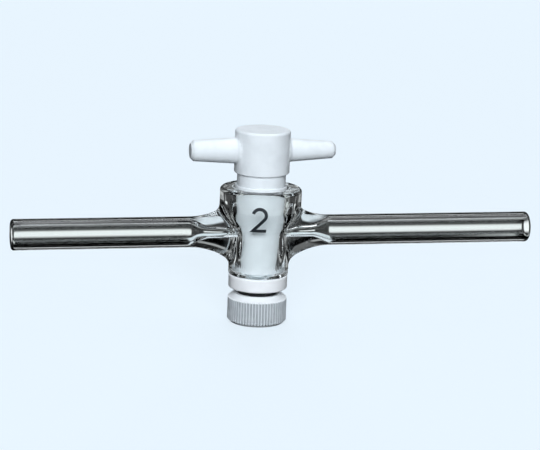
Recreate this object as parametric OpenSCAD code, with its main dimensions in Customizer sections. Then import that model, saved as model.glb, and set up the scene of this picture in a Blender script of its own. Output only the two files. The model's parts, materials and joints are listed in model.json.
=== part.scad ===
// Laboratory stopcock: a thick glass barrel with two side tubes fused to it, closed by a
// one-piece PTFE key that a washer, an O-ring and a knurled nut draw down into its seat.
//
// Millimetres. The origin is the centre of the nut's flat bottom. +Z runs up the key's
// axis, and +X runs along the longer side tube. The handle lies in line with the tubes,
// which is the open position.

/* [Side tubes] */
// Outside diameter of both side tubes
tube_d = 8; // [7:0.1:8.6]
// Inside diameter of both side tubes
tube_bore_d = 5; // [4:0.1:5.8]
// Reach of the left tube, from the key's axis to its fire-polished end
left_reach = 64.4; // [40:0.1:90]
// Reach of the right tube, from the key's axis to its fire-polished end
right_reach = 73.1; // [40:0.1:100]
// Height of the tubes' common axis above the bottom of the barrel
tube_height = 11.4; // [10:0.1:12.6]
// Distance from the key's axis at which a tube's full bore ends
bore_start = 19.2; // [18.4:0.1:24]
// Length over which the bore narrows to the passage
throat_l = 5.6; // [3:0.1:7]
// Diameter of the narrow passage through each seal into the seat
passage_d = 2.4; // [1.6:0.1:3.2]

/* [Barrel] */
// Diameter of the barrel below its collar
barrel_d = 15.6; // [15:0.1:16.4]
// Height of the barrel, from its foot to its rim
barrel_h = 23; // [22:0.1:26]
// Diameter of the collar round the mouth
collar_d = 21.2; // [18:0.1:24]
// Height of the collar's straight wall, with its rounded rim
collar_h = 5.1; // [4:0.1:6]
// Height of the shoulder that swells from the barrel to the collar
shoulder_h = 6; // [4:0.1:7]
// Radius of the collar's rounded rim
rim_round = 0.9; // [0.3:0.1:1.5]
// Radius of the rounded edge at the barrel's foot
foot_round = 0.6; // [0.2:0.1:1.2]

/* [Seals] */
// How far a seal flares along its tube, measured from the barrel's wall
seal_l = 10.6; // [8:0.1:10.6]
// How far a seal stands above the tube, above and below, where it meets the barrel
seal_rise = 3.8; // [2:0.1:4.4]
// How far a seal flares along its tube at the front and back
seal_side_l = 7.6; // [5:0.1:9]
// How far a seal stands out from the tube at the front and back
seal_side_rise = 1.5; // [0.8:0.1:2]

/* [Seat] */
// Diameter of the seat at the barrel's rim
seat_d = 13.6; // [13.2:0.1:14.6]
// The seat's taper, as length over growth in diameter: 5 is a taper of one in five
seat_taper_ratio = 5; // [4.8:0.1:10]
// Width of the chamfer at both mouths of the seat
seat_chamfer = 0.4; // [0.1:0.05:0.6]
// Running clearance between the key and its seat, on the radius
seat_gap = 0.03; // [0.02:0.01:0.08]

/* [Key] */
// Diameter of the cross hole through the key
key_bore_d = 2; // [1:0.1:2.4]
// How far the key's taper stands above the barrel's rim
taper_stand = 0.4; // [0.1:0.1:1.5]
// How far the key's taper stops above the barrel's foot
taper_recess = 0.7; // [0.3:0.1:1.5]
// Diameter of the neck between the taper and the head
neck_d = 12.6; // [10:0.1:13]
// Height of the head's underside above the barrel's rim
head_lift = 3.9; // [2.5:0.1:8]
// Diameter of the head
head_d = 14.3; // [13.4:0.1:18]
// Height of the head
head_h = 11.3; // [10.6:0.1:16]
// Radius of the head's rounded top edge
head_round = 0.7; // [0.2:0.1:1.5]

/* [Handle] */
// Height of the arms' axis above the head's underside
arm_height = 5.8; // [5.2:0.1:6.4]
// Reach of the left arm, from the key's axis to its tip
left_arm_reach = 18.9; // [12:0.1:30]
// Diameter of the left arm where it leaves the head
left_root_d = 6.7; // [4:0.1:7]
// Diameter of the left arm at its tip
left_tip_d = 5.4; // [3:0.1:7]
// Reach of the right arm, from the key's axis to its tip
right_arm_reach = 19.2; // [12:0.1:30]
// Diameter of the right arm where it leaves the head
right_root_d = 6; // [4:0.1:7]
// Diameter of the right arm at its tip
right_tip_d = 4.4; // [3:0.1:7]
// Radius of the blend between an arm and the head
arm_blend = 1; // [0.6:0.1:3.5]
// How far the blend stands above the arm at its widest
arm_blend_rise = 0.5; // [0.2:0.1:0.6]
// Width of the bevel round an arm's tip
arm_bevel = 0.8; // [0.2:0.1:1.2]

/* [Stem] */
// Diameter of the threaded stem below the taper
stem_d = 6.4; // [5:0.1:7.4]
// Distance from the key's axis to the flat that keys the washer
stem_flat = 2.5; // [1.8:0.1:2.5]
// How far the stem's end stays inside the nut, above its bottom
stem_recess = 1; // [0.5:0.1:3]

/* [Washer and O-ring] */
// Diameter of the washer
washer_d = 15.3; // [13:0.1:17]
// Thickness of the washer
washer_h = 3.5; // [2:0.1:6]
// Radius of the washer's rounded edges
washer_round = 0.4; // [0.1:0.1:0.9]
// Clearance between the stem and the washer's D-shaped hole
washer_gap = 0.1; // [0.05:0.01:0.3]
// Diameter of the O-ring's cord before it is squeezed
ring_cord_d = 2; // [1.6:0.1:2.4]
// How much the cord is squeezed between the washer and the nut
ring_squeeze = 0.1; // [0.05:0.05:0.2]
// Clearance between the stem and the O-ring
ring_gap = 0.1; // [0.05:0.01:0.3]

/* [Nut] */
// Diameter of the nut over its ribs
nut_d = 15.4; // [14.6:0.1:18]
// Height of the nut
nut_h = 7.8; // [6:0.1:12]
// Number of ribs round the nut
rib_count = 60; // [36:1:72]
// Depth of the grooves between the ribs
rib_depth = 0.3; // [0.1:0.05:0.4]
// Height of the smooth shoulder above the ribs
nut_shoulder_h = 1.3; // [0.8:0.1:2]
// How far the shoulder leans in towards its top
nut_shoulder_in = 1.2; // [0.6:0.1:1.4]
// Width of the chamfer round the nut's bottom
nut_foot_chamfer = 0.5; // [0.2:0.1:1]
// Depth of the recess that centres the O-ring in the nut's top
recess_depth = 0.5; // [0.2:0.1:0.9]
// Clearance between the O-ring and the wall of its recess
recess_gap = 0.15; // [0.1:0.05:0.4]
// Running clearance between the stem and the nut's threaded hole
thread_gap = 0.05; // [0.02:0.01:0.1]

/* [Hidden] */

$fn = 96;
cut_over = 1;

tube_r = tube_d / 2;
tube_bore_r = tube_bore_d / 2;
tube_wall = tube_r - tube_bore_r;
barrel_r = barrel_d / 2;
collar_r = collar_d / 2;
neck_r = neck_d / 2;
head_r = head_d / 2;
stem_r = stem_d / 2;
washer_r = washer_d / 2;
nut_r = nut_d / 2;
nut_root_r = nut_r - rib_depth;

// The stack, from the nut's bottom up
ring_h = ring_cord_d - ring_squeeze;
ring_z = nut_h - recess_depth;
washer_z = ring_z + ring_h;
foot_z = washer_z + washer_h;
tube_z = foot_z + tube_height;
rim_z = foot_z + barrel_h;
head_z = rim_z + head_lift;
head_top_z = head_z + head_h;
arm_z = head_z + arm_height;

// The O-ring lies round the stem
ring_cord_r = ring_cord_d / 2;
ring_mid_r = stem_r + ring_gap + ring_cord_r;
recess_r = ring_mid_r + ring_cord_r + recess_gap;

// Seals: the rings of each loft, and how far in they reach
seal_sides = 36;
seal_steps = 10;
seal_end = barrel_r + seal_l;
seal_inset = 0.05;
seal_bite = 0.6;
seal_side_x = sqrt(pow(barrel_r, 2) - pow(tube_r + seal_side_rise + seal_inset, 2));
seal_inner_x = seal_side_x - seal_bite;
seal_side_end = seal_side_x + seal_side_l;
// Each loft keeps this far inside the tube's outline where it meets it
seam_inset = 0.02;

arc_steps = 8;
curve_steps = 10;

// Points along an arc, both ends included
function arc(centre, r, from, to, steps = arc_steps) =
    [for (i = [0:steps]) let (a = from + (to - from) * i / steps) centre + r * [cos(a), sin(a)]];

// Points of an S-shaped sweep from one point to another, upright at both ends
function sweep(from, to, steps = curve_steps) =
    [for (i = [0:steps]) let (t = i / steps)
        [from[0] + (to[0] - from[0]) * (1 - cos(180 * t)) / 2, from[1] + (to[1] - from[1]) * t]];

// Radius of the seat at a height
function seat_r(z) = (seat_d - (rim_z - z) / seat_taper_ratio) / 2;

// Radius of the arc that rises by `rise` over the length `run` and starts out level
function blend_r(run, rise) = (pow(run, 2) + pow(rise, 2)) / (2 * rise);

// How far such an arc has risen `travel` along its run
function blend_at(run, rise, travel) =
    let (r = blend_r(run, rise), x = min(max(travel, 0), run)) r - sqrt(pow(r, 2) - pow(x, 2));

// Half the height and half the width of a seal's section at a distance from the key's axis
function seal_half_h(x) = tube_r + blend_at(seal_l, seal_rise, seal_end - x);
function seal_half_w(x) = tube_r + blend_at(seal_side_l, seal_side_rise, seal_side_end - x);

// One elliptical ring of a seal, as points round the tube's axis
function seal_ring(x, inset) =
    [for (i = [0:seal_sides - 1]) let (a = 360 * i / seal_sides)
        [x, (seal_half_w(x) - inset) * cos(a), (seal_half_h(x) - inset) * sin(a)]];

// A fused seal: elliptical rings lofted from the tube's end to inside the barrel's wall
module seal() {
    xs = [for (i = [0:seal_steps]) seal_inner_x + (bore_start - seal_inner_x) * i / seal_steps];
    rings = [for (x = xs) seal_ring(x, seam_inset)];
    points = [for (r = rings) each r];
    n = seal_sides;
    inner_cap = [[for (i = [0:n - 1]) i]];
    outer_cap = [[for (i = [0:n - 1]) seal_steps * n + n - 1 - i]];
    walls = [for (k = [0:seal_steps - 1], i = [0:n - 1]) each [
        [k * n + i, (k + 1) * n + i, k * n + (i + 1) % n],
        [k * n + (i + 1) % n, (k + 1) * n + i, (k + 1) * n + (i + 1) % n]]];
    translate([0, 0, tube_z])
        polyhedron(points, concat(inner_cap, outer_cap, walls), convexity = 4);
}

// Turns a profile drawn round +Z so that it lies along +X on the tubes' axis
module along_tube() {
    translate([0, 0, tube_z])
        rotate([0, 90, 0])
            children();
}

// A side tube: its open wall, from the seal to the rounded, fire-polished lip
module side_tube(reach) {
    lip_r = tube_wall / 2;
    lip_z = reach - lip_r;
    along_tube()
        rotate_extrude()
            polygon(concat(
                [[tube_bore_r, bore_start], [tube_r, bore_start]],
                arc([tube_bore_r + lip_r, lip_z], lip_r, 0, 180)));
}

// The way through a seal: the full bore narrows smoothly to the passage
module passage() {
    passage_r = passage_d / 2;
    along_tube()
        rotate_extrude()
            polygon(concat(
                [[0, 0], [passage_r, 0]],
                sweep([passage_r, bore_start - throat_l], [tube_bore_r, bore_start]),
                [[tube_bore_r, bore_start + cut_over], [0, bore_start + cut_over]]));
}

// The barrel before it is bored: foot, wall, shoulder, collar and rim
module barrel_blank() {
    collar_z = rim_z - collar_h;
    rotate_extrude()
        polygon(concat(
            [[0, foot_z]],
            arc([barrel_r - foot_round, foot_z + foot_round], foot_round, -90, 0),
            sweep([barrel_r, collar_z - shoulder_h], [collar_r, collar_z]),
            arc([collar_r - rim_round, rim_z - rim_round], rim_round, 0, 90),
            [[0, rim_z]]));
}

// The ground seat, with a chamfer at each mouth
module seat() {
    low_z = foot_z - cut_over;
    high_z = rim_z + cut_over;
    translate([0, 0, low_z])
        cylinder(h = high_z - low_z, r1 = seat_r(low_z), r2 = seat_r(high_z));
    translate([0, 0, foot_z - cut_over])
        cylinder(
            h = cut_over + seat_chamfer,
            r1 = seat_r(foot_z) + seat_chamfer + cut_over,
            r2 = seat_r(foot_z));
    translate([0, 0, rim_z - seat_chamfer])
        cylinder(
            h = cut_over + seat_chamfer,
            r1 = seat_r(rim_z),
            r2 = seat_r(rim_z) + seat_chamfer + cut_over);
}

// One piece of blown and fused borosilicate glass
module glass_body() {
    color("lightcyan", 0.45)
        union() {
            difference() {
                union() {
                    barrel_blank();
                    seal();
                    mirror([1, 0, 0]) seal();
                }
                seat();
                passage();
                mirror([1, 0, 0]) passage();
            }
            side_tube(right_reach);
            mirror([1, 0, 0]) side_tube(left_reach);
        }
}

// A handle arm along +X: a cone with a bevelled tip, blended into the head
module arm(reach, root_r, tip_r) {
    blend_x = head_r + arm_blend / 2;
    blend_end = blend_x - sqrt(pow(arm_blend, 2) - pow(arm_blend - arm_blend_rise, 2));
    blend_angle = acos((arm_blend - arm_blend_rise) / arm_blend);
    translate([0, 0, arm_z])
        rotate([0, 90, 0])
            rotate_extrude()
                polygon(concat(
                    [[0, 0], [root_r + arm_blend_rise, 0], [root_r + arm_blend_rise, blend_end]],
                    arc([root_r + arm_blend, blend_x], arm_blend, 180 + blend_angle, 180),
                    [[tip_r, reach - arm_bevel], [tip_r - arm_bevel, reach], [0, reach]]));
}

// The turned outline of the key, from the stem's end to the top of the head
module key_blank() {
    stem_z = stem_recess;
    stem_chamfer = 0.5;
    taper_z = foot_z + taper_recess;
    taper_top_z = rim_z + taper_stand;
    taper_low_r = seat_r(taper_z) - seat_gap;
    taper_top_r = seat_r(taper_top_z) - seat_gap;
    taper_chamfer = 0.3;
    head_edge = 0.3;
    rotate_extrude()
        polygon(concat(
            [
                [0, stem_z],
                [stem_r - stem_chamfer, stem_z],
                [stem_r, stem_z + stem_chamfer],
                [stem_r, taper_z],
                [taper_low_r - taper_chamfer, taper_z],
                [taper_low_r + taper_chamfer / (2 * seat_taper_ratio), taper_z + taper_chamfer],
                [taper_top_r, taper_top_z],
                [neck_r, taper_top_z + (taper_top_r - neck_r) / 2],
                [neck_r, head_z],
                [head_r - head_edge, head_z],
                [head_r, head_z + head_edge]
            ],
            arc([head_r - head_round, head_top_z - head_round], head_round, 0, 90),
            [[0, head_top_z]]));
}

// The PTFE key, turned from one piece: stem, taper, neck, head and both handle arms
module plug() {
    color("white")
        difference() {
            union() {
                key_blank();
                arm(right_arm_reach, right_root_d / 2, right_tip_d / 2);
                mirror([1, 0, 0]) arm(left_arm_reach, left_root_d / 2, left_tip_d / 2);
            }
            translate([-seat_d, 0, tube_z])
                rotate([0, 90, 0])
                    cylinder(h = 2 * seat_d, d = key_bore_d);
            translate([-stem_d, stem_flat, 0])
                cube([2 * stem_d, stem_d, foot_z + taper_recess]);
        }
}

// A plain disc with both edges rounded, standing on z
module rounded_disc(z, r, h, edge) {
    translate([0, 0, z])
        rotate_extrude()
            polygon(concat(
                [[0, 0]],
                arc([r - edge, edge], edge, -90, 0),
                arc([r - edge, h - edge], edge, 0, 90),
                [[0, h]]));
}

// The thick PTFE washer, whose D-shaped hole keeps it from turning on the stem
module washer() {
    color("ghostwhite")
        difference() {
            rounded_disc(washer_z, washer_r, washer_h, washer_round);
            difference() {
                translate([0, 0, washer_z - cut_over])
                    cylinder(h = washer_h + 2 * cut_over, r = stem_r + washer_gap);
                translate([-stem_d, stem_flat + washer_gap, washer_z - 2 * cut_over])
                    cube([2 * stem_d, stem_d, washer_h + 4 * cut_over]);
            }
        }
}

// The rubber O-ring, flattened where the washer and the nut squeeze it
module o_ring() {
    color([0.08, 0.08, 0.09])
        translate([0, 0, ring_z])
            rotate_extrude()
                intersection() {
                    translate([ring_mid_r, ring_h / 2])
                        circle(r = ring_cord_r);
                    square([2 * ring_mid_r, ring_h]);
                }
}

// The nut's ribbed outline: flat-topped ribs with sloping sides
module ribbed_outline() {
    pitch = 360 / rib_count;
    crest_share = 0.32;
    foot_share = 0.72;
    corners = [
        [nut_root_r, -foot_share / 2],
        [nut_r, -crest_share / 2],
        [nut_r, crest_share / 2],
        [nut_root_r, foot_share / 2]
    ];
    polygon([for (i = [0:rib_count - 1], c = corners)
        let (a = pitch * (i + c[1])) c[0] * [cos(a), sin(a)]]);
}

// The turned envelope that chamfers the ribs' feet and leans their tops into the shoulder
module nut_envelope() {
    grip_top_z = nut_h - nut_shoulder_h;
    out = 1;
    top_r = nut_root_r - nut_shoulder_in;
    lean = nut_shoulder_h / (nut_r - top_r);
    rotate_extrude()
        polygon([
            [0, 0],
            [nut_root_r - nut_foot_chamfer, 0],
            [nut_r + out, nut_foot_chamfer + rib_depth + out],
            [nut_r + out, grip_top_z - lean * out],
            [top_r, nut_h],
            [0, nut_h]
        ]);
}

// The knurled nut: ribbed grip, smooth leaning shoulder, threaded hole and O-ring recess
module nut() {
    color("gainsboro")
        difference() {
            intersection() {
                linear_extrude(height = nut_h)
                    ribbed_outline();
                nut_envelope();
            }
            translate([0, 0, -cut_over])
                cylinder(h = nut_h + 2 * cut_over, r = stem_r + thread_gap);
            translate([0, 0, ring_z])
                cylinder(h = recess_depth + cut_over, r = recess_r);
        }
}

glass_body();
plug();
washer();
o_ring();
nut();
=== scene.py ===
"""Glass stopcock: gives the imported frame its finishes, its fused glass, its thread and a plain stage."""
import json
import math

import bmesh
import bpy
import numpy as np
from bpy.props import FloatProperty, PointerProperty, StringProperty
from mathutils import Matrix, Vector


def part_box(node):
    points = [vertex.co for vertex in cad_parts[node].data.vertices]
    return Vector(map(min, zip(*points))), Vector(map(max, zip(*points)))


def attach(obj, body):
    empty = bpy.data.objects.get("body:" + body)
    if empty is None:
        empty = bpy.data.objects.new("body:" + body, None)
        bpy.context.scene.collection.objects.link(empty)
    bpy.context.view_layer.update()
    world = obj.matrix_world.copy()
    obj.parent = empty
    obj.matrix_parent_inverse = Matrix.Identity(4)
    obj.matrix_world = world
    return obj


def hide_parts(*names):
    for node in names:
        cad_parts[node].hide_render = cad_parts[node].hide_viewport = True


bl_info = {
    "name": "Glass Stopcock",
    "version": (1, 0, 0),
    "blender": (4, 5, 0),
    "location": "View3D > Sidebar > Stopcock",
    "description": "Builds a laboratory stopcock's glass, PTFE key, seals and nut, and a plain stage",
    "category": "Object",
}

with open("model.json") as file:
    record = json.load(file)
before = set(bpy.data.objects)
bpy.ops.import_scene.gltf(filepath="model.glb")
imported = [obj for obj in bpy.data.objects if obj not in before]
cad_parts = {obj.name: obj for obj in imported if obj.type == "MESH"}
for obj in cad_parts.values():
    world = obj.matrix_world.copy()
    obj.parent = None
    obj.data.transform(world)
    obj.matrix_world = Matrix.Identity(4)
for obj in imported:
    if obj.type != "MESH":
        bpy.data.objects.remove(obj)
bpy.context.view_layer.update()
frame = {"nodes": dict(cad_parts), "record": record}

MM = 0.001
MOUNTS = {mount["name"]: mount for mount in frame["record"]["mounts"]}
TUBE_Z = MOUNTS["right_tube"]["pos_m"][2]
TUBE_R = MOUNTS["right_tube"]["dims"]["r_mm"] * MM
BORE_R = MOUNTS["right_bore"]["dims"]["r_mm"] * MM
GLASS_LOW, GLASS_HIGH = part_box("glass_body")
FOOT_Z, RIM_Z = GLASS_LOW.z, GLASS_HIGH.z
COLLAR_R = GLASS_HIGH.y

# Sides of the round glass meshes, and the spacing of their rings
BARREL_SIDES, TUBE_SIDES = 144, 96
SKIN_STEP, TUBE_STEP = 0.35 * MM, 2.5 * MM
# A seal's loft starts inside the barrel's wall, this far from the axis
SEAL_ROOT_X = 5 * MM
# How near a place has to be to count as on a skin or in a plane, and how near points are welded
ON_SKIN, IN_PLANE, WELD = 0.01 * MM, 0.001 * MM, 0.003 * MM
# What the lamps are aimed at
LAMP_AIM = Vector((0, 0, 0.03))


# ---- Colours and nodes ------------------------------------------------------------------------


def linear(hex_colour):
    """An sRGB hex colour such as #E8EDF0 as linear red, green, blue and a full alpha."""
    shares = [int(hex_colour[i : i + 2], 16) / 255 for i in (1, 3, 5)]
    return [s / 12.92 if s <= 0.04045 else ((s + 0.055) / 1.055) ** 2.4 for s in shares] + [1.0]


def add_node(tree, kind, inputs=None, **settings):
    """Adds a node, sets its properties, and sets or links its inputs: an output socket is linked."""
    made = tree.nodes.new(kind)
    for name, value in settings.items():
        setattr(made, name, value)
    for key, value in (inputs or {}).items():
        if isinstance(value, bpy.types.NodeSocket):
            tree.links.new(value, made.inputs[key])
        else:
            made.inputs[key].default_value = value
    return made


def ramp(tree, value, start, end, low, high):
    """A smooth change from low to high while value goes from start to end."""
    inputs = {"Value": value, 1: start, 2: end, 3: low, 4: high}
    return add_node(tree, "ShaderNodeMapRange", inputs, interpolation_type="SMOOTHSTEP").outputs[0]


def product(tree, first, second):
    """Two values multiplied."""
    return add_node(tree, "ShaderNodeMath", {0: first, 1: second}, operation="MULTIPLY").outputs[0]


def lighter(tree, first, *others):
    """The largest of two or more values."""
    for other in others:
        first = add_node(tree, "ShaderNodeMath", {0: first, 1: other}, operation="MAXIMUM").outputs[0]
    return first


def between(tree, value, rise, fall, level=1.0):
    """Level where value lies between two edges and 0 beyond them, with each edge as (start, end)."""
    return product(tree, ramp(tree, value, *rise, 0.0, level), ramp(tree, value, *fall, 1.0, 0.0))


def noise(tree, place, scale, detail):
    """Soft noise of so many cells to the metre."""
    inputs = {"Vector": place.outputs["Object"], "Scale": scale, "Detail": detail}
    return add_node(tree, "ShaderNodeTexNoise", inputs).outputs[0]


def bumped(tree, height, strength, distance):
    """A normal bent by a height."""
    inputs = {"Height": height, "Strength": strength, "Distance": distance}
    return add_node(tree, "ShaderNodeBump", inputs).outputs[0]


def mixed_colour(tree, share, first, second):
    """From the first colour to the second as share goes from 0 to 1."""
    inputs = {"Factor": share, 6: first, 7: second}
    return add_node(tree, "ShaderNodeMix", inputs, data_type="RGBA").outputs[2]


def mixed_shader(tree, share, first, second):
    """From the first shader to the second as share goes from 0 to 1."""
    return add_node(tree, "ShaderNodeMixShader", {0: share, 1: first, 2: second}).outputs[0]


def glowing(tree, hex_colour, strength):
    """Light given off in a colour."""
    inputs = {"Color": linear(hex_colour), "Strength": strength}
    return add_node(tree, "ShaderNodeEmission", inputs).outputs[0]


def empty_material(name):
    """A material with nothing in its node tree."""
    material = bpy.data.materials.new(name)
    material.use_nodes = True
    material.node_tree.nodes.clear()
    return material


def finish(tree, shader):
    """Sends a shader to the surface of a material."""
    add_node(tree, "ShaderNodeOutputMaterial", {"Surface": shader})


# ---- Meshes ----------------------------------------------------------------------------------


def dress(obj, material):
    """Gives the whole of an object one material."""
    obj.data.materials.clear()
    obj.data.materials.append(material)
    for polygon in obj.data.polygons:
        polygon.material_index = 0


def solid_from_rings(name, rings):
    """A closed mesh object through rings that hold equally many points, with a flat cap at each end."""
    count = len(rings[0])
    last = (len(rings) - 1) * count
    faces = [list(range(count)), list(range(last, last + count))]
    for start in range(0, last, count):
        for i in range(count):
            j = (i + 1) % count
            faces.append([start + i, start + j, start + count + j, start + count + i])
    mesh = bpy.data.meshes.new(name)
    mesh.from_pydata([point for ring in rings for point in ring], [], faces)
    face_outwards(mesh)
    obj = bpy.data.objects.new(name, mesh)
    bpy.context.scene.collection.objects.link(obj)
    return obj


def face_outwards(mesh):
    """Turns every face of a closed mesh outwards."""
    work = bmesh.new()
    work.from_mesh(mesh)
    bmesh.ops.recalc_face_normals(work, faces=work.faces)
    work.to_mesh(mesh)
    work.free()


def combine(target, tool, operation):
    """Joins tool to target, or cuts it away, and removes the tool."""
    change = target.modifiers.new(operation, "BOOLEAN")
    change.operation = operation
    change.solver = "MANIFOLD"
    change.object = tool
    graph = bpy.context.evaluated_depsgraph_get()
    before = target.data
    target.data = bpy.data.meshes.new_from_object(target.evaluated_get(graph))
    target.modifiers.clear()
    bpy.data.meshes.remove(before)
    bpy.data.objects.remove(tool)


def check_closed(obj):
    """Stops the script if a mesh that has to be closed isn't."""
    work = bmesh.new()
    work.from_mesh(obj.data)
    loose = sum(1 for edge in work.edges if len(edge.link_faces) != 2)
    work.free()
    if loose:
        raise RuntimeError(f"{obj.name} has {loose} edges that don't join two faces")


def circle(radius, height, sides):
    """Points round Z."""
    turns = [2 * math.pi * i / sides for i in range(sides)]
    return [(radius * math.cos(a), radius * math.sin(a), height) for a in turns]


def arc(centre, radius, start, end, steps):
    """Points of an arc in a profile, both ends included, with angles in degrees."""
    angles = [math.radians(start + (end - start) * i / steps) for i in range(steps + 1)]
    return [(centre[0] + radius * math.cos(a), centre[1] + radius * math.sin(a)) for a in angles]


def spaced(start, end, step):
    """Evenly spaced values from start to end, both included, no further apart than step."""
    count = max(1, math.ceil(abs(end - start) / step))
    return [start + (end - start) * i / count for i in range(count + 1)]


# ---- Sizes and colours -----------------------------------------------------------------------


def length(name, description, default):
    """A length property, with its default in millimetres."""
    return FloatProperty(name=name, description=description, default=default * MM, min=0, unit="LENGTH")


def angle(name, description, default):
    """An angle property, with its default in degrees."""
    return FloatProperty(
        name=name, description=description, default=math.radians(default), subtype="ANGLE"
    )


def tint(name, description, default):
    """A colour property, as sRGB hex."""
    return StringProperty(name=name, description=description + ", as sRGB hex", default=default)


class GlassSettings(bpy.types.PropertyGroup):
    """Sizes and colour of the blown glass body"""

    barrel_d: length("Barrel", "Diameter of the barrel below its collar", 15.6)
    collar_h: length("Collar height", "Height of the collar's straight wall, with its rim", 5.1)
    shoulder_h: length("Shoulder height", "Height of the swell from barrel to collar", 6.0)
    rim_round: length("Rim radius", "Radius of the collar's rounded rim", 0.9)
    foot_round: length("Foot radius", "Radius of the rounded edge at the foot", 0.6)
    seal_l: length("Seal length", "How far a seal flares along its tube, above and below", 10.6)
    seal_rise: length("Seal rise", "How far a seal stands above the tube at the barrel", 3.8)
    seal_side_l: length("Seal side length", "How far a seal flares along its tube, front and back", 7.6)
    seal_side_rise: length("Seal side rise", "How far a seal stands out from the tube, front and back", 1.5)
    fillet: length("Fused fillet", "Width over which seal and barrel have flowed together", 1.6)
    ripple: length("Ripple", "Height of the flame-worked waves round the seals", 0.012)
    bore_start: length("Bore start", "Distance from the axis at which a tube's full bore ends", 19.2)
    throat_l: length("Throat", "Length over which the bore narrows to the passage", 5.6)
    passage_d: length("Passage", "Diameter of the passage through each seal", 2.4)
    seat_d: length("Seat", "Diameter of the seat at the rim", 13.6)
    seat_taper_ratio: FloatProperty(
        name="Seat taper", description="Length of seat for each unit of growth in diameter", default=5
    )
    seat_chamfer: length("Seat chamfer", "Width of the chamfer at both mouths of the seat", 0.4)
    colour: tint("Tint", "Colour of the glass", "#FBFEFD")


class MarkSettings(bpy.types.PropertyGroup):
    """Size and colour of the numeral on the barrel"""

    size: length("Height", "Height of the numeral", 6.2)
    stroke: length("Stroke", "Width of its strokes", 0.85)
    thick: length("Thickness", "How far the enamel stands off the glass", 0.03)
    height: length("Middle", "Height of the numeral's middle above the ground", 29.0)
    facing: angle("Facing", "Round the barrel", -13.4)
    colour: tint("Enamel", "Colour of the enamel", "#23272B")


class KeySettings(bpy.types.PropertyGroup):
    """Sizes of the key's thread and colours of the key and the washer"""

    stem_d: length("Stem", "Diameter over the thread", 6.4)
    root_d: length("Thread root", "Diameter at the root of the thread", 5.5)
    pitch: length("Pitch", "Rise of the thread in one turn", 1.5)
    thread_low: length("Thread start", "Height at which the thread starts", 0.2)
    thread_high: length("Thread end", "Height at which the thread ends", 11.6)
    colour: tint("PTFE", "Colour of the PTFE", "#EAF0F3")
    washer_colour: tint("Washer", "Colour of the washer", "#F6F9FB")


class NutSettings(bpy.types.PropertyGroup):
    """Sizes of the nut's ribs and colours of the nut and the O-ring"""

    nut_d: length("Nut", "Diameter over the ribs", 15.4)
    rib_depth: length("Rib depth", "Depth of the grooves between the ribs", 0.3)
    ribs_top: length("Ribs' top", "Height at which the ribs end", 6.5)
    colour: tint("Nut", "Colour of the nut", "#F1F5F7")
    # Painted shade on the ribbed side: the grey of the crests
    rib_shade_colour: tint("Ribs", "Colour of the ribs", "#A4AAAE")
    # Painted shade on the ribbed side: the lighter grey of the grooves
    groove_shade_colour: tint("Grooves", "Colour of the nut's grooves", "#CDD3D6")
    rubber: tint("Rubber", "Colour of the O-ring", "#161719")


class StageSettings(bpy.types.PropertyGroup):
    """Backdrop colour, camera place and lens"""

    backdrop: tint("Backdrop", "Colour of the pale backdrop", "#EAF6FF")
    focal_length: FloatProperty(name="Lens", description="Focal length in millimetres", default=140.49)
    distance: length("Distance", "From the camera to what it looks at", 546.86)
    azimuth: angle("Azimuth", "Round the object", -13.357)
    elevation: angle("Elevation", "Above level", 12.992)
    roll: angle("Roll", "Tilt of the camera", 2.157)
    aim_x: length("Aim along X", "How far right of the key's axis the camera looks", 2.74)
    aim_z: length("Aim height", "Height that the camera looks at", 25.59)


# ---- Materials -------------------------------------------------------------------------------


def flame_worked_borosilicate(settings):
    """Borosilicate glass, drawn into tube and worked in a flame. Clear with hardly any tint, it shows
    itself by dark refracted edges and by faint draw lines that run along the tubes."""
    material = empty_material("flame_worked_borosilicate")
    tree = material.node_tree
    place = add_node(tree, "ShaderNodeTexCoord")
    # Draw lines: 0.4 mm apart across the tube and 40 mm long
    stretch = add_node(
        tree, "ShaderNodeMapping", {"Vector": place.outputs["Object"], "Scale": (25, 2500, 2500)}
    )
    lines = add_node(
        tree, "ShaderNodeTexNoise", {"Vector": stretch.outputs[0], "Scale": 1.0, "Detail": 1.0}
    )
    glass = add_node(
        tree,
        "ShaderNodeBsdfPrincipled",
        {
            "Base Color": linear(settings.colour),
            "Roughness": 0.0,
            "IOR": 1.474,
            "Transmission Weight": 1.0,
            "Normal": bumped(tree, lines.outputs[0], 0.12, 0.01 * MM),
        },
    )
    # Lamps shine through to the key, as they do through clear glass
    clear = add_node(tree, "ShaderNodeBsdfTransparent", {"Color": linear("#FDFEFE")})
    path = add_node(tree, "ShaderNodeLightPath")
    unbent = lighter(tree, path.outputs["Is Shadow Ray"], path.outputs["Is Diffuse Ray"])
    finish(tree, mixed_shader(tree, unbent, glass.outputs[0], clear.outputs[0]))
    return material


def fired_enamel(colour):
    """Enamel printed on the glass and fired: opaque, with a satin skin and slightly uneven colour."""
    material = empty_material("fired_enamel")
    tree = material.node_tree
    place = add_node(tree, "ShaderNodeTexCoord")
    # Screen-print grain, 0.1 mm wide
    grain = noise(tree, place, 10000.0, 2.0)
    tone = mixed_colour(tree, grain, linear(colour), linear("#3A3F44"))
    enamel = add_node(tree, "ShaderNodeBsdfPrincipled", {"Base Color": tone, "Roughness": 0.35})
    finish(tree, enamel.outputs[0])
    return material


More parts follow.
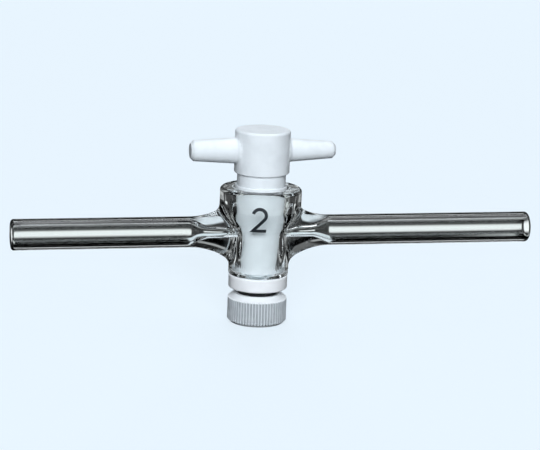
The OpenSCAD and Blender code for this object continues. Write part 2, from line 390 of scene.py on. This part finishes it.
def turned_ptfe(name, colour):
    """PTFE turned on a lathe: waxy, slightly translucent white with a soft sheen and faint tool marks."""
    material = empty_material(name)
    tree = material.node_tree
    place = add_node(tree, "ShaderNodeTexCoord")
    # Waxy clouding, 3 mm wide, in the gloss and faintly in the tone
    cloud = noise(tree, place, 330.0, 4.0)
    roughness = ramp(tree, cloud, 0.35, 0.65, 0.36, 0.50)
    pale = linear(colour)
    waxy = [c * 0.95 for c in pale[:3]] + [1]
    tone = mixed_colour(tree, ramp(tree, cloud, 0.40, 0.70, 0.0, 1.0), pale, waxy)
    # Tool marks: rings round the key's axis, 0.5 mm apart
    marks = add_node(
        tree,
        "ShaderNodeTexWave",
        {
            "Vector": place.outputs["Object"],
            "Scale": 314.0,
            "Distortion": 1.5,
            "Detail": 2.0,
            "Detail Scale": 2.0,
        },
        bands_direction="Z",
    )
    ptfe = add_node(
        tree,
        "ShaderNodeBsdfPrincipled",
        {
            "Base Color": tone,
            "Roughness": roughness,
            "IOR": 1.38,
            "Subsurface Weight": 0.25,
            "Subsurface Radius": (1.0, 1.0, 1.0),
            "Subsurface Scale": 0.6 * MM,
            "Normal": bumped(tree, marks.outputs[0], 0.35, 0.01 * MM),
        },
    )
    finish(tree, ptfe.outputs[0])
    return material


def moulded_nitrile(colour):
    """Nitrile rubber, moulded: near black, with a dull sheen and a fine dusty grain."""
    material = empty_material("moulded_nitrile")
    tree = material.node_tree
    place = add_node(tree, "ShaderNodeTexCoord")
    # Dusty grain, 0.2 mm wide
    dusty = bumped(tree, noise(tree, place, 5000.0, 2.0), 0.2, 0.02 * MM)
    rubber = add_node(
        tree,
        "ShaderNodeBsdfPrincipled",
        {"Base Color": linear(colour), "Roughness": 0.55, "Normal": dusty},
    )
    finish(tree, rubber.outputs[0])
    return material


def moulded_polypropylene(colours, rib_low_r, rib_high_r, ribs_top):
    """Polypropylene, injection moulded: a smooth pale shoulder, and a ribbed side painted darker as painted
    shade, greyest on the crests and paler in the grooves."""
    material = empty_material("moulded_polypropylene")
    tree = material.node_tree
    place = add_node(tree, "ShaderNodeTexCoord")
    axes = add_node(tree, "ShaderNodeSeparateXYZ", {0: place.outputs["Object"]})
    flat = add_node(tree, "ShaderNodeCombineXYZ", {0: axes.outputs["X"], 1: axes.outputs["Y"]})
    reach = add_node(tree, "ShaderNodeVectorMath", {0: flat.outputs[0]}, operation="LENGTH")
    depth = rib_high_r - rib_low_r
    crest_low, crest_high = rib_low_r + 0.1 * depth, rib_low_r + 0.5 * depth
    crest = ramp(tree, reach.outputs["Value"], crest_low, crest_high, 0.0, 1.0)
    shoulder = ramp(tree, axes.outputs["Z"], ribs_top - 0.3 * MM, ribs_top + 0.1 * MM, 0.0, 1.0)
    # Random mottling, 2 mm wide, in the gloss and in how dark the painted shade on the crests is
    mottle = noise(tree, place, 500.0, 4.0)
    crest_shade = product(tree, crest, ramp(tree, mottle, 0.3, 0.7, 0.7, 1.0))
    smooth, rib, groove = (linear(colour) for colour in colours)
    # Painted shade: the ribbed side is greyer than the shoulder, with grey crests and paler grooves
    tone = mixed_colour(tree, shoulder, mixed_colour(tree, crest_shade, groove, rib), smooth)
    # The skin of the mould, in cells of 0.7 mm
    skin = bumped(tree, noise(tree, place, 1500.0, 3.0), 0.15, 0.02 * MM)
    plastic = add_node(
        tree,
        "ShaderNodeBsdfPrincipled",
        {
            "Base Color": tone,
            "Roughness": ramp(tree, mottle, 0.3, 0.7, 0.36, 0.48),
            "IOR": 1.49,
            "Normal": skin,
        },
    )
    finish(tree, plastic.outputs[0])
    return material


# ---- Glass -----------------------------------------------------------------------------------


def blend_at(run, rise, travel):
    """How far an arc that starts out level and rises by rise over run has risen at travel."""
    radius = (run * run + rise * rise) / (2 * rise)
    across = np.clip(travel, 0, run)
    return radius - np.sqrt(radius * radius - across * across)


class GlassForm:
    """The glass body's outer form, as functions of a place in metres."""

    def __init__(self, s):
        self.s = s
        self.barrel_r = s.barrel_d / 2
        self.collar_z = RIM_Z - s.collar_h
        self.seal_end = self.barrel_r + s.seal_l
        widest = TUBE_R + s.seal_side_rise
        self.side_end = math.sqrt(self.barrel_r**2 - widest**2) + s.seal_side_l

    def wall_r(self, z):
        """Radius of the barrel's outer wall, its shoulder and its collar."""
        t = np.clip((z - self.collar_z) / self.s.shoulder_h + 1, 0, 1)
        return self.barrel_r + (COLLAR_R - self.barrel_r) * (1 - np.cos(np.pi * t)) / 2

    def seal_half_h(self, x):
        """Half the height of a seal, at a distance from the barrel's axis."""
        return TUBE_R + blend_at(self.s.seal_l, self.s.seal_rise, self.seal_end - x)

    def seal_half_w(self, x):
        """Half the width of a seal, front to back."""
        return TUBE_R + blend_at(self.s.seal_side_l, self.s.seal_side_rise, self.side_end - x)

    def ripple(self, p):
        """Low waves left by the flame, which fade out along the tubes and round the barrel's front."""
        # Each wave as its turn in radians for a millimetre along X, Y and Z, and its phase
        waves = [
            ((1.1, 0.7, 0.9), 0.3),
            ((-0.8, 1.3, 0.5), 1.9),
            ((0.4, -0.9, 1.6), 4.1),
            ((1.7, 0.6, -1.2), 2.6),
        ]
        total = sum(np.sin(p @ (np.array(k) / MM) + phase) for k, phase in waves) / len(waves)
        reach = np.abs(p[:, 0])
        off_barrel = np.clip((reach - SEAL_ROOT_X) / (3 * MM), 0, 1)
        off_tube = np.clip((self.s.bore_start - reach) / (5 * MM), 0, 1)
        return self.s.ripple * (off_barrel * off_tube) * total

    def two_skins(self, p):
        """Roughly how far each place lies outside the barrel alone, and outside a seal alone."""
        x, y, z = np.abs(p[:, 0]), p[:, 1], p[:, 2] - TUBE_Z
        step = 0.01 * MM
        lean = (self.wall_r(p[:, 2] + step) - self.wall_r(p[:, 2] - step)) / (2 * step)
        barrel = (np.hypot(x, y) - self.wall_r(p[:, 2])) / np.hypot(1, lean)
        half_w, half_h = self.seal_half_w(x), self.seal_half_h(x)
        q = np.maximum(np.hypot(y / half_w, z / half_h), 1e-6)
        seal = (q - 1) * q / np.maximum(np.hypot(y / half_w**2, z / half_h**2), 1e-6)
        return barrel, seal

    def parting(self, p):
        """Zero where a place is as far from the barrel as from a seal."""
        barrel, seal = self.two_skins(p)
        return barrel - seal

    def outside(self, p):
        """Roughly how far each place lies outside the fused outer skin."""
        barrel, seal = self.two_skins(p)
        k = self.s.fillet
        merge = np.clip(k - np.abs(barrel - seal), 0, None) / k
        return np.minimum(barrel, seal) - merge * merge * k / 4 - self.ripple(p)

    def slope(self, p):
        """Gradient of outside() at each place."""
        step = 0.005 * MM
        rises = [self.outside(p + step * axis) - self.outside(p - step * axis) for axis in np.eye(3)]
        return np.stack(rises, axis=1) / (2 * step)


def barrel_blank(form):
    """The barrel before it is bored."""
    s = form.s
    foot = arc((form.barrel_r - s.foot_round, FOOT_Z + s.foot_round), s.foot_round, -90, 0, 6)
    rim = arc((COLLAR_R - s.rim_round, RIM_Z - s.rim_round), s.rim_round, 0, 90, 8)
    heights = spaced(foot[-1][1], rim[0][1], SKIN_STEP)[1:-1]
    wall = [(float(form.wall_r(z)), z) for z in heights]
    rings = [circle(r, z, BARREL_SIDES) for r, z in foot + wall + rim]
    return solid_from_rings("barrel_blank", rings)


def seal_blank(form, side):
    """A seal as a solid loft, from inside the barrel's wall to where its tube starts."""
    turns = [2 * math.pi * i / TUBE_SIDES for i in range(TUBE_SIDES)]
    rings = []
    for x in spaced(SEAL_ROOT_X, form.s.bore_start, SKIN_STEP):
        w, h = float(form.seal_half_w(x)), float(form.seal_half_h(x))
        rings.append([(side * x, w * math.cos(a), TUBE_Z + h * math.sin(a)) for a in turns])
    return solid_from_rings("seal_blank", rings)


def lying_ring(x, radius):
    """Points round the tubes' axis."""
    turns = [2 * math.pi * i / TUBE_SIDES for i in range(TUBE_SIDES)]
    return [(x, radius * math.cos(a), TUBE_Z + radius * math.sin(a)) for a in turns]


def cavity(form):
    """What is bored out of the glass: the tapered seat and the way through both seals."""
    s = form.s
    # How far a cutter stands past what it cuts
    over = 1 * MM
    low_r = (s.seat_d - (RIM_Z - FOOT_Z) / s.seat_taper_ratio) / 2
    top_r = s.seat_d / 2
    flare = s.seat_chamfer + over
    profile = [
        (low_r + flare, FOOT_Z - over),
        (low_r, FOOT_Z + s.seat_chamfer),
        (top_r, RIM_Z - s.seat_chamfer),
        (top_r + flare, RIM_Z + over),
    ]
    seat = solid_from_rings("seat", [circle(r, z, BARREL_SIDES) for r, z in profile])
    # Half the passage, as (radius, distance from the axis), from inside the seat outwards
    half = [(s.passage_d / 2, 2 * MM)]
    throat_start = s.bore_start - s.throat_l
    for x in spaced(throat_start, s.bore_start, 0.4 * MM):
        t = (x - throat_start) / s.throat_l
        half.append((s.passage_d / 2 + (BORE_R - s.passage_d / 2) * (1 - math.cos(math.pi * t)) / 2, x))
    half.append((BORE_R, s.bore_start + over))
    rings = [lying_ring(-x, r) for r, x in reversed(half)]
    rings += [lying_ring(x, r) for r, x in half]
    combine(seat, solid_from_rings("passage", rings), "UNION")
    return seat


def refine_creases(obj, form, longest, rounds):
    """Splits the long edges of the skin where seal and barrel meet."""
    s = form.s
    work = bmesh.new()
    work.from_mesh(obj.data)
    # The flat caps have more corners than any face of the skin, and stay whole
    end_cap = 40
    for _ in range(rounds):
        bmesh.ops.triangulate(work, faces=[f for f in work.faces if len(f.verts) < end_cap])
        # The long edges whose middles lie on the skin and near a crease
        long_edges = [e for e in work.edges if e.calc_length() > longest]
        middles = np.array([(e.verts[0].co + e.verts[1].co) / 2 for e in long_edges])
        near = np.abs(form.parting(middles)) < 1.3 * s.fillet
        near &= np.abs(form.outside(middles)) < 0.6 * s.fillet
        near &= (middles[:, 2] > FOOT_Z + s.foot_round) & (middles[:, 2] < RIM_Z - s.rim_round)
        edges = [e for e, wanted in zip(long_edges, near) if wanted]
        bmesh.ops.subdivide_edges(work, edges=edges, cuts=1, use_grid_fill=False)
    bmesh.ops.triangulate(work, faces=[f for f in work.faces if len(f.verts) < end_cap])
    work.to_mesh(obj.data)
    work.free()


def fuse_seals(obj, form):
    """Draws the skin near each crease out to a fillet, with the flame's ripple on it."""
    count = len(obj.data.vertices)
    places = np.zeros(count * 3)
    obj.data.vertices.foreach_get("co", places)
    places = places.reshape(-1, 3)
    s = form.s
    on_wall = places[:, 2] > FOOT_Z + s.foot_round + ON_SKIN
    on_wall &= places[:, 2] < RIM_Z - s.rim_round - ON_SKIN
    on_wall &= np.abs(places[:, 0]) < s.bore_start - ON_SKIN
    on_wall &= np.hypot(places[:, 0], places[:, 1]) > form.barrel_r - 0.05 * MM
    moved = places[on_wall]
    for _ in range(5):
        slope = form.slope(moved)
        steep = np.maximum((slope * slope).sum(axis=1), 0.1)
        moved -= (form.outside(moved) / steep)[:, None] * slope
    places[on_wall] = moved
    obj.data.vertices.foreach_set("co", places.ravel())
    obj.data.update()


def open_ends(work, reach):
    """Deletes the flat ends of the seals, so that the tubes can join on."""
    flat = [f for f in work.faces if all(abs(abs(v.co.x) - reach) < IN_PLANE for v in f.verts)]
    bmesh.ops.delete(work, geom=flat, context="FACES")


def add_tube(work, side, start, reach):
    """A side tube's wall: out along the outside, round the fire-polished lip, and back along the bore."""
    lip_r = (TUBE_R - BORE_R) / 2
    lip_x = reach - lip_r
    outer = [(TUBE_R, x) for x in spaced(start, lip_x, TUBE_STEP)[:-1]]
    lip = arc((BORE_R + lip_r, lip_x), lip_r, 0, 180, 12)
    bore = [(BORE_R, x) for x in spaced(lip_x, start, TUBE_STEP)[1:]]
    profile = outer + lip + bore
    rings = [[work.verts.new(point) for point in lying_ring(side * x, r)] for r, x in profile]
    for a, b in zip(rings, rings[1:]):
        for i in range(TUBE_SIDES):
            j = (i + 1) % TUBE_SIDES
            work.faces.new([a[i], a[j], b[j], b[i]])


def smooth_normals(mesh, form):
    """Smooth shading with sharp chamfers, and the skin's true normals where seal and barrel are fused."""
    mesh.shade_smooth()
    mesh.set_sharp_from_angle(angle=math.radians(32))
    normals = np.zeros(len(mesh.loops) * 3)
    mesh.corner_normals.foreach_get("vector", normals)
    normals = normals.reshape(-1, 3)
    corners = np.zeros(len(mesh.loops), dtype=np.int64)
    mesh.loops.foreach_get("vertex_index", corners)
    places = np.zeros(len(mesh.vertices) * 3)
    mesh.vertices.foreach_get("co", places)
    places = places.reshape(-1, 3)[corners]
    # Only the corners that lie on the fused skin; the seat and the bores keep their own normals
    skin = np.abs(form.outside(places)) < 0.004 * MM
    skin &= np.abs(places[:, 0]) < form.s.bore_start + ON_SKIN
    skin &= (places[:, 2] > FOOT_Z + form.s.foot_round) & (places[:, 2] < RIM_Z - form.s.rim_round)
    true = form.slope(places[skin])
    normals[skin] = true / np.linalg.norm(true, axis=1)[:, None]
    mesh.normals_split_custom_set(normals.tolist())


class STOPCOCK_OT_glass(bpy.types.Operator):
    """Build the glass body as one fused piece: barrel, seals and side tubes"""

    bl_idname = "stopcock.glass"
    bl_label = "Glass body"

    def execute(self, context):
        settings = context.scene.stopcock_glass
        form = GlassForm(settings)
        body = barrel_blank(form)
        for side in (1, -1):
            combine(body, seal_blank(form, side), "UNION")
        refine_creases(body, form, longest=0.2 * MM, rounds=2)
        fuse_seals(body, form)
        combine(body, cavity(form), "DIFFERENCE")
        work = bmesh.new()
        work.from_mesh(body.data)
        open_ends(work, settings.bore_start)
        add_tube(work, 1, settings.bore_start, GLASS_HIGH.x)
        add_tube(work, -1, settings.bore_start, -GLASS_LOW.x)
        joint = [v for v in work.verts if abs(abs(v.co.x) - settings.bore_start) < IN_PLANE]
        bmesh.ops.remove_doubles(work, verts=joint, dist=WELD)
        bmesh.ops.recalc_face_normals(work, faces=work.faces)
        work.to_mesh(body.data)
        work.free()
        body.name = "fused_glass"
        check_closed(body)
        smooth_normals(body.data, form)
        dress(body, flame_worked_borosilicate(settings))
        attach(body, "barrel")
        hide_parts("glass_body")
        return {"FINISHED"}


def numeral_two(size):
    """The middle line of a plain 2, around its own middle: a list of places across and up."""
    bow = 0.27 * size
    top = [(x, y + size / 2 - bow) for x, y in arc((0, 0), bow, 165, -35, 20)]
    toe = (-bow, -size / 2)
    heel = (1.05 * bow, -size / 2)
    down = [tuple(np.array(top[-1]) + t * (np.array(toe) - top[-1])) for t in spaced(0, 1, 0.08)[1:]]
    base = [tuple(np.array(toe) + t * (np.array(heel) - toe)) for t in spaced(0, 1, 0.1)[1:]]
    return np.array(top + down + base)


def stroke_edges(line, width):
    """Both edges of a stroke of even width along a middle line, mitred at its corners."""
    along = np.diff(line, axis=0)
    along /= np.linalg.norm(along, axis=1)[:, None]
    across = np.stack([-along[:, 1], along[:, 0]], axis=1)
    first, last = across[:1], across[-1:]
    mitre = np.concatenate([first, across[:-1] + across[1:], last])
    mitre[1:-1] /= (1 + (across[:-1] * across[1:]).sum(axis=1))[:, None]
    return line + mitre * width / 2, line - mitre * width / 2


class STOPCOCK_OT_mark(bpy.types.Operator):
    """Fire a plain numeral in enamel onto the barrel"""

    bl_idname = "stopcock.mark"
    bl_label = "Numeral"

    def execute(self, context):
        s = context.scene.stopcock_mark
        form = GlassForm(context.scene.stopcock_glass)
        left, right = stroke_edges(numeral_two(s.size), s.stroke)
        lanes = [left + (right - left) * t for t in spaced(0, 1, 0.25)]
        # The enamel's back lies just off the glass, so that the two skins don't meet
        back = 0.004 * MM
        skin = back + s.thick

        def on_glass(place, lift):
            """A place of the flat numeral, wrapped round the barrel."""
            z = s.height + place[1]
            r = float(form.wall_r(z)) + lift
            turn = s.facing + place[0] / r
            return (r * math.sin(turn), -r * math.cos(turn), z)

        rings = []
        for places in zip(*lanes):
            front = [on_glass(place, skin) for place in places]
            rings.append(front + [on_glass(place, back) for place in reversed(places)])
        mark = solid_from_rings("enamel_numeral", rings)
        check_closed(mark)
        dress(mark, fired_enamel(s.colour))
        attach(mark, "barrel")
        return {"FINISHED"}


# ---- Key, washer, O-ring and nut ---------------------------------------------------------------


def closed_copy(name, source):
    """A copy of a CAD part with its points joined, so that finer forms can be cut into it."""
    work = bmesh.new()
    work.from_mesh(source.data)
    bmesh.ops.remove_doubles(work, verts=work.verts, dist=0.002 * MM)
    bmesh.ops.recalc_face_normals(work, faces=work.faces)
    mesh = bpy.data.meshes.new(name)
    work.to_mesh(mesh)
    work.free()
    obj = bpy.data.objects.new(name, mesh)
    obj.matrix_world = source.matrix_world.copy()
    bpy.context.scene.collection.objects.link(obj)
    return obj


def join_flat_faces(mesh):
    """Joins faces that lie in one plane, so that smooth shading isn't pulled about by long triangles."""
    work = bmesh.new()
    work.from_mesh(mesh)
    bmesh.ops.dissolve_limit(work, angle_limit=math.radians(0.05), verts=work.verts, edges=work.edges)
    work.to_mesh(mesh)
    work.free()


def shade_by_area(obj, sharp_angle):
    """Smooth shading in which large faces hold their own direction beside narrow fillets."""
    obj.data.shade_smooth()
    obj.data.set_sharp_from_angle(angle=sharp_angle)
    change = obj.modifiers.new("weighted", "WEIGHTED_NORMAL")
    change.keep_sharp = True
    change.weight = 100
    graph = bpy.context.evaluated_depsgraph_get()
    before = obj.data
    obj.data = bpy.data.meshes.new_from_object(obj.evaluated_get(graph))
    obj.modifiers.clear()
    bpy.data.meshes.remove(before)


def thread_groove(s):
    """The cutter for a thread: a ridge wound round Z, wide at the crest and narrow at the root."""
    root_r, out_r = s.root_d / 2, s.stem_d / 2 + 0.1 * MM
    # The flanks lean at 45 degrees, so the ridge widens by as much as it stands out on each side
    root_half = 0.1 * s.pitch
    out_half = root_half + (out_r - root_r)
    section = [(root_r, -root_half), (out_r, -out_half), (out_r, out_half), (root_r, root_half)]
    steps = 48
    rings = []
    for i in range(int(steps * (s.thread_high - s.thread_low) / s.pitch) + 1):
        turn = 2 * math.pi * i / steps
        height = s.thread_low + s.pitch * i / steps
        rings.append([(r * math.cos(turn), r * math.sin(turn), height + dz) for r, dz in section])
    return solid_from_rings("thread_groove", rings)


class STOPCOCK_OT_key(bpy.types.Operator):
    """Cut the key's thread, and finish the key and the washer in turned PTFE"""

    bl_idname = "stopcock.key"
    bl_label = "Key and washer"

    def execute(self, context):
        settings = context.scene.stopcock_key
        key = closed_copy("threaded_key", frame["nodes"]["plug"])
        groove = thread_groove(settings)
        combine(key, groove, "DIFFERENCE")
        join_flat_faces(key.data)
        check_closed(key)
        shade_by_area(key, math.radians(30))
        dress(key, turned_ptfe("turned_ptfe", settings.colour))
        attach(key, "key")
        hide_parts("plug")
        dress(frame["nodes"]["washer"], turned_ptfe("turned_ptfe_washer", settings.washer_colour))
        return {"FINISHED"}


class STOPCOCK_OT_nut(bpy.types.Operator):
    """Finish the nut in moulded plastic and the O-ring in rubber"""

    bl_idname = "stopcock.nut"
    bl_label = "Nut and O-ring"

    def execute(self, context):
        settings = context.scene.stopcock_nut
        rib_high_r = settings.nut_d / 2
        colours = (settings.colour, settings.rib_shade_colour, settings.groove_shade_colour)
        rib_low_r = rib_high_r - settings.rib_depth
        plastic = moulded_polypropylene(colours, rib_low_r, rib_high_r, settings.ribs_top)
        dress(frame["nodes"]["nut"], plastic)
        dress(frame["nodes"]["o_ring"], moulded_nitrile(settings.rubber))
        return {"FINISHED"}


# ---- Stage -----------------------------------------------------------------------------------


def bent_ray(tree, path):
    """1 for a ray that left glass or a gloss."""
    return lighter(tree, path.outputs["Is Transmission Ray"], path.outputs["Is Glossy Ray"])


def backdrop_paper(colour):
    """Matt paper, pale to the eye, that hardly lights the object from below. Glass looks past it into the
    world, but for a glowing slip behind the barrel, a painted pool of light that only glass sees."""
    material = empty_material("backdrop_paper")
    tree = material.node_tree
    path = add_node(tree, "ShaderNodeLightPath")
    bounce = add_node(tree, "ShaderNodeBsdfDiffuse", {"Color": linear("#3A3C3E")})
    # The eye sees a steady pale glow, and a fifth of the light that falls there, for the shadow
    dimmed = [c * 0.2 for c in linear(colour)[:3]] + [1]
    lit = add_node(tree, "ShaderNodeBsdfDiffuse", {"Color": dimmed})
    shown = add_node(tree, "ShaderNodeAddShader", {0: glowing(tree, colour, 0.80), 1: lit.outputs[0]})
    paper = mixed_shader(tree, path.outputs["Is Camera Ray"], bounce.outputs[0], shown.outputs[0])
    place = add_node(tree, "ShaderNodeTexCoord")
    axes = add_node(tree, "ShaderNodeSeparateXYZ", {0: place.outputs["Object"]})
    # Where the glowing slip lies: its soft edges in metres from the key's axis
    wide = between(tree, axes.outputs["X"], (-0.012, -0.004), (0.018, 0.026))
    deep = between(tree, axes.outputs["Y"], (0.000, 0.008), (0.040, 0.050))
    nothing = add_node(tree, "ShaderNodeBsdfTransparent")
    # The slip is a painted pool of light: it glows, and only glass sees it
    glowing_slip = mixed_shader(tree, product(tree, wide, deep), nothing.outputs[0], glowing(tree, colour, 0.9))
    finish(tree, mixed_shader(tree, bent_ray(tree, path), paper, glowing_slip))
    return material


def add_floor(width, material):
    """A square of paper that lies flat under the object."""
    mesh = bpy.data.meshes.new("floor")
    half = width / 2
    corners = [(-half, -half, 0), (half, -half, 0), (half, half, 0), (-half, half, 0)]
    mesh.from_pydata(corners, [], [[0, 1, 2, 3]])
    mesh.materials.append(material)
    obj = bpy.data.objects.new("floor", mesh)
    bpy.context.scene.collection.objects.link(obj)


def outward(azimuth, elevation):
    """The direction that lies at an azimuth from the front and at an elevation, both in radians."""
    level = math.cos(elevation)
    return Vector((math.sin(azimuth) * level, -math.cos(azimuth) * level, math.sin(elevation)))


def softbox(name, size, watts, azimuth, elevation, distance):
    """A rectangular area lamp of cool daylight, so far from its aim, at angles in degrees."""
    lamp = bpy.data.lights.new(name, "AREA")
    lamp.shape = "RECTANGLE"
    lamp.size, lamp.size_y = size
    lamp.energy = watts
    lamp.color = linear("#F4F9FF")[:3]
    obj = bpy.data.objects.new(name, lamp)
    back = outward(math.radians(azimuth), math.radians(elevation))
    obj.location = LAMP_AIM + distance * back
    obj.rotation_euler = back.to_track_quat("Z", "Y").to_euler()
    bpy.context.scene.collection.objects.link(obj)
    return obj


def background(tree, hex_colour, strength):
    """Light from the world in a colour."""
    inputs = {"Color": linear(hex_colour), "Strength": strength}
    return add_node(tree, "ShaderNodeBackground", inputs).outputs[0]


def light_in_glass(tree, path):
    """What clear glass sees round it, as a level for each direction: black with a white band just below
    the horizon, which is how clear glass is lit so that its edges draw themselves."""
    place = add_node(tree, "ShaderNodeTexCoord")
    axes = add_node(tree, "ShaderNodeSeparateXYZ", {0: place.outputs["Generated"]})
    across, away, height = (axes.outputs[name] for name in "XYZ")
    band = between(tree, height, (-0.35, -0.26), (-0.20, -0.10), 1.1)
    # The band is a short one behind the object, and runs on at both sides and at the front
    behind = between(tree, across, (0.04, 0.10), (0.36, 0.44))
    right = ramp(tree, across, 0.60, 0.75, 0.0, 0.45)
    left = ramp(tree, across, -0.75, -0.60, 0.45, 0.0)
    front = ramp(tree, away, -0.30, 0.0, 1.0, 0.0)
    band = product(tree, band, lighter(tree, behind, right, left, front))
    haze = between(tree, height, (-0.62, -0.34), (-0.08, -0.02), 0.04)
    # A grey room above, dark on the right but for a strip just over the horizon
    room = product(
        tree, ramp(tree, height, 0.11, 0.17, 0.0, 0.16), ramp(tree, height, 0.60, 0.78, 1.0, 0.1)
    )
    room = product(tree, room, ramp(tree, across, 0.12, 0.18, 1.0, 0.1))
    strip = between(tree, height, (0.16, 0.20), (0.26, 0.34), 0.4)
    strip = product(tree, strip, ramp(tree, across, 0.15, 0.19, 0.0, 1.0))
    # Light that has crossed both walls of a tube steeply comes from the pale floor, except just
    # behind the object, where it is left out so that the tubes keep a dark lower edge
    crossed = ramp(tree, path.outputs["Transmission Depth"], 3.0, 4.0, 0.0, 1.0)
    aside = lighter(
        tree,
        ramp(tree, across, -0.03, 0.01, 1.0, 0.0),
        ramp(tree, across, 0.30, 0.36, 0.0, 1.0),
        ramp(tree, away, 0.24, 0.30, 1.0, 0.0),
    )
    below = product(tree, product(tree, ramp(tree, height, -0.54, -0.44, 0.8, 0.0), crossed), aside)
    return lighter(tree, band, haze, room, strip, below)


def studio_world(colour):
    """Pale to the camera, nearly dark to matt surfaces, and banded to glass and gloss."""
    world = bpy.data.worlds.new("studio")
    bpy.context.scene.world = world
    world.use_nodes = True
    tree = world.node_tree
    tree.nodes.clear()
    path = add_node(tree, "ShaderNodeLightPath")
    ambient = background(tree, "#FFFFFF", 0.02)
    plain = mixed_shader(tree, path.outputs["Is Camera Ray"], ambient, background(tree, colour, 1.0))
    around = background(tree, "#F4F8FA", light_in_glass(tree, path))
    either = mixed_shader(tree, bent_ray(tree, path), plain, around)
    add_node(tree, "ShaderNodeOutputWorld", {"Surface": either})


class STOPCOCK_OT_stage(bpy.types.Operator):
    """Set the floor, the world, the lamps and the camera"""

    bl_idname = "stopcock.stage"
    bl_label = "Stage"

    def execute(self, context):
        settings = context.scene.stopcock_stage
        add_floor(width=6.0, material=backdrop_paper(settings.backdrop))
        studio_world(settings.backdrop)
        key = softbox("key_light", (1.6, 1.2), watts=73, azimuth=-11, elevation=27, distance=2.4)
        # The top light hangs a little behind the object, so its elevation is past upright
        softbox("top_light", (2.0, 1.3), watts=17, azimuth=-13.4, elevation=106, distance=2.0)
        fill = softbox("back_fill", (1.6, 1.2), watts=50, azimuth=166.6, elevation=11, distance=2.4)
        # Key and fill light the matt surfaces alone, so that they draw no lines of their own in the glass
        for lamp in (key, fill):
            lamp.visible_glossy = False
            lamp.visible_transmission = False
        self.add_camera(settings)
        context.scene.view_settings.view_transform = "Standard"
        return {"FINISHED"}

    def add_camera(self, s):
        """The camera stands off at an azimuth and elevation from its aim, with a slight roll."""
        camera = bpy.data.cameras.new("camera")
        camera.lens = s.focal_length
        camera.sensor_width = 36
        camera.clip_start = 10 * MM
        camera.clip_end = 20
        obj = bpy.data.objects.new("camera", camera)
        bpy.context.scene.collection.objects.link(obj)
        back = outward(s.azimuth, s.elevation)
        right = Vector((0, 0, 1)).cross(back).normalized()
        up = back.cross(right)
        turned_right = math.cos(s.roll) * right + math.sin(s.roll) * up
        turned_up = math.cos(s.roll) * up - math.sin(s.roll) * right
        pose = Matrix((turned_right, turned_up, back)).transposed().to_4x4()
        pose.translation = Vector((s.aim_x, 0, s.aim_z)) + s.distance * back
        obj.matrix_world = pose
        bpy.context.scene.camera = obj


# ---- Panel and registration --------------------------------------------------------------------

PIECES = (STOPCOCK_OT_glass, STOPCOCK_OT_mark, STOPCOCK_OT_key, STOPCOCK_OT_nut, STOPCOCK_OT_stage)
GROUPS = {
    "stopcock_glass": GlassSettings,
    "stopcock_mark": MarkSettings,
    "stopcock_key": KeySettings,
    "stopcock_nut": NutSettings,
    "stopcock_stage": StageSettings,
}


class STOPCOCK_PT_panel(bpy.types.Panel):
    """The pieces of the stopcock, with their sizes and colours"""

    bl_idname = "STOPCOCK_PT_panel"
    bl_label = "Stopcock"
    bl_space_type = "VIEW_3D"
    bl_region_type = "UI"
    bl_category = "Stopcock"

    def draw(self, context):
        for (name, group), piece in zip(GROUPS.items(), PIECES):
            box = self.layout.box()
            for field in group.__annotations__:
                box.prop(getattr(context.scene, name), field)
            box.operator(piece.bl_idname)


def register():
    for item in (*GROUPS.values(), *PIECES, STOPCOCK_PT_panel):
        bpy.utils.register_class(item)
    for name, group in GROUPS.items():
        setattr(bpy.types.Scene, name, PointerProperty(type=group))


def unregister():
    for name in GROUPS:
        delattr(bpy.types.Scene, name)
    for item in reversed((*GROUPS.values(), *PIECES, STOPCOCK_PT_panel)):
        bpy.utils.unregister_class(item)


def main():
    register()
    for piece in PIECES:
        group, name = piece.bl_idname.split(".")
        getattr(getattr(bpy.ops, group), name)()


if __name__ == "__main__":
    main()
